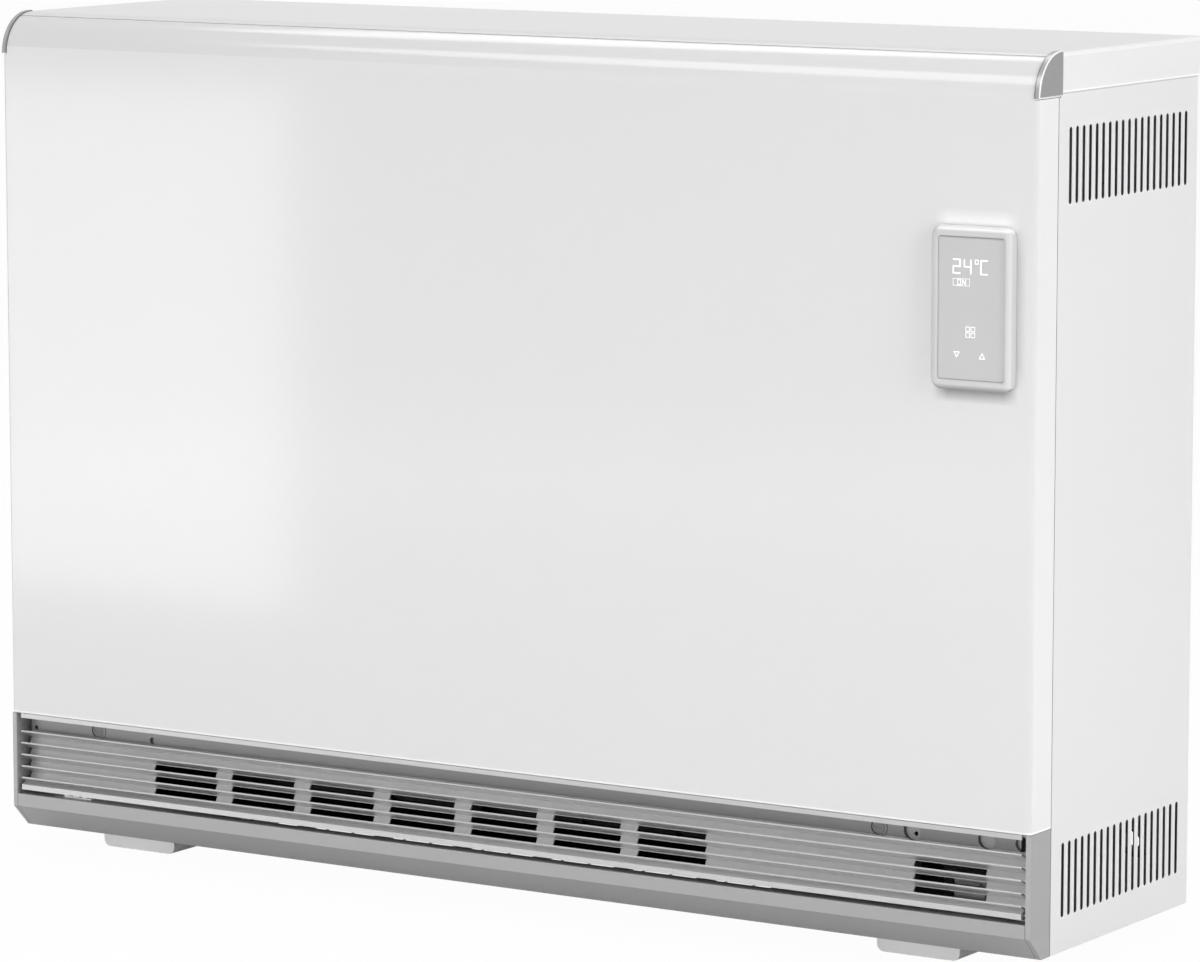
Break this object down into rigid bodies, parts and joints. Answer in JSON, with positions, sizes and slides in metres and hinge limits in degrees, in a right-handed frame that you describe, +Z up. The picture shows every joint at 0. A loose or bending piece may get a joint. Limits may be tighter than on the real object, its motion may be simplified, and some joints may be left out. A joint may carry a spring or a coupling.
{
  "type": "storage heater",
  "caption": "Floor-standing fan storage heater: flat white casing, insulated brick core, cross-flow blowers, mixing flap, touch control and a finned outlet grille that tilts forward.",
  "frame": {"origin": "on the floor, under the middle of the overall box", "axes": "+X to the right as seen from the front, -Y to the front, +Z up"},
  "size_m": [0.929, 0.259, 0.6728],
  "materials": {
    "white_enamel": "smooth white stove enamel, low gloss",
    "vented_enamel": "smooth white stove enamel, dark on the inner face",
    "silver_paint": "satin silver-grey paint",
    "grey_paint": "satin grey paint",
    "zinc_sheet": "zinc-coated sheet",
    "white_plastic": "moulded, matt",
    "bright_steel": "plain steel",
    "grey_rubber": "soft black-grey",
    "silver_anodised": "silver anodised extrusion, satin",
    "grey_plastic": "moulded, satin",
    "white_gloss": "smooth, soft gloss",
    "grey_glass": "light grey, coloured from behind",
    "dark_plastic": "moulded, matt",
    "green_board": "circuit board",
    "insulation_board": "microporous board, matt",
    "iron_oxide_brick": "pressed iron oxide brick, matt",
    "element_steel": "dark oxidised tube",
    "ceramic": "steatite, stands in as gloss plastic",
    "flap_aluminium": "plain sheet",
    "brass_bush": "plain",
    "motor_steel": "laminated stack",
    "red_plastic": "smooth"
  },
  "bodies": {
    "casing": {"base_tray": "zinc_sheet", "back_panel": "zinc_sheet", "left_side_panel": "vented_enamel", "right_side_panel": "vented_enamel", "top_cover": "white_enamel", "front_panel": "white_enamel", "left_end_cap": "silver_paint", "right_end_cap": "silver_paint", "left_cheek": "grey_paint", "right_cheek": "grey_paint", "bottom_rail": "grey_paint", "rail_clip": "white_plastic", "cross_rail": "zinc_sheet", "feet": "white_plastic", "foot_screws": "bright_steel", "cable_grommet": "grey_rubber", "control_bezel": "white_gloss", "control_glass": "grey_glass", "control_display": "dark_plastic", "control_board": "green_board", "control_housing": "white_plastic", "core_casing": "zinc_sheet", "core_lid": "zinc_sheet", "core_support": "zinc_sheet", "insulation_front": "insulation_board", "insulation_back": "insulation_board", "insulation_left": "insulation_board", "insulation_right": "insulation_board", "insulation_top": "insulation_board", "insulation_base": "insulation_board", "lower_brick_layers": "iron_oxide_brick", "upper_brick_layers": "iron_oxide_brick", "heating_elements": "element_steel", "element_bushes": "ceramic", "core_sensor": "bright_steel", "air_duct": "zinc_sheet", "flap_bushes": "brass_bush", "bimetal_coil": "brass_bush", "blower_housings": "zinc_sheet", "blower_bearings": "brass_bush", "blower_motors": "motor_steel", "lint_filter": "dark_plastic", "electrics_plate": "zinc_sheet", "power_board": "green_board", "terminal_block": "white_plastic", "safety_limiter": "dark_plastic", "room_sensor": "grey_plastic"},
    "grille": {"outlet_grille": "silver_anodised", "grille_hinge_pins": "bright_steel", "latch_cups": "silver_anodised"},
    "left_latch": {"left_latch": "grey_plastic"},
    "right_latch": {"right_latch": "grey_plastic"},
    "flap": {"mixing_flap": "flap_aluminium", "flap_shaft": "bright_steel"},
    "left_blower": {"left_impeller": "flap_aluminium", "left_impeller_shaft": "bright_steel"},
    "right_blower": {"right_impeller": "flap_aluminium", "right_impeller_shaft": "bright_steel"},
    "limiter_button": {"limiter_button": "red_plastic"}
  },
  "joints": [
    {"name": "grille_tilt", "type": "hinge", "parent": "casing", "child": "grille", "pos_m": [0, -0.115, 0.0512], "axis": [1, 0, 0], "range_deg": [0, 70]},
    {"name": "left_latch_turn", "type": "hinge", "parent": "grille", "child": "left_latch", "pos_m": [-0.388, -0.106, 0.1011], "axis": [0, 1, 0], "range_deg": [0, 90]},
    {"name": "right_latch_turn", "type": "hinge", "parent": "grille", "child": "right_latch", "pos_m": [0.329, -0.106, 0.1011], "axis": [0, 1, 0], "range_deg": [0, 90]},
    {"name": "flap_turn", "type": "hinge", "parent": "casing", "child": "flap", "pos_m": [0, -0.0355, 0.1], "axis": [1, 0, 0], "range_deg": [0, 40], "stiffness_Nm_per_rad": 0.4},
    {"name": "left_blower_spin", "type": "hinge", "parent": "casing", "child": "left_blower", "pos_m": [-0.2, 0.0045, 0.07], "axis": [1, 0, 0], "continuous": true},
    {"name": "right_blower_spin", "type": "hinge", "parent": "casing", "child": "right_blower", "pos_m": [0.05, 0.0045, 0.07], "axis": [1, 0, 0], "continuous": true},
    {"name": "limiter_reset", "type": "slide", "parent": "casing", "child": "limiter_button", "axis": [-1, 0, 0], "range_m": [0, 0.0015], "stiffness_N_per_m": 400, "springref_m": -0.002}
  ]
}
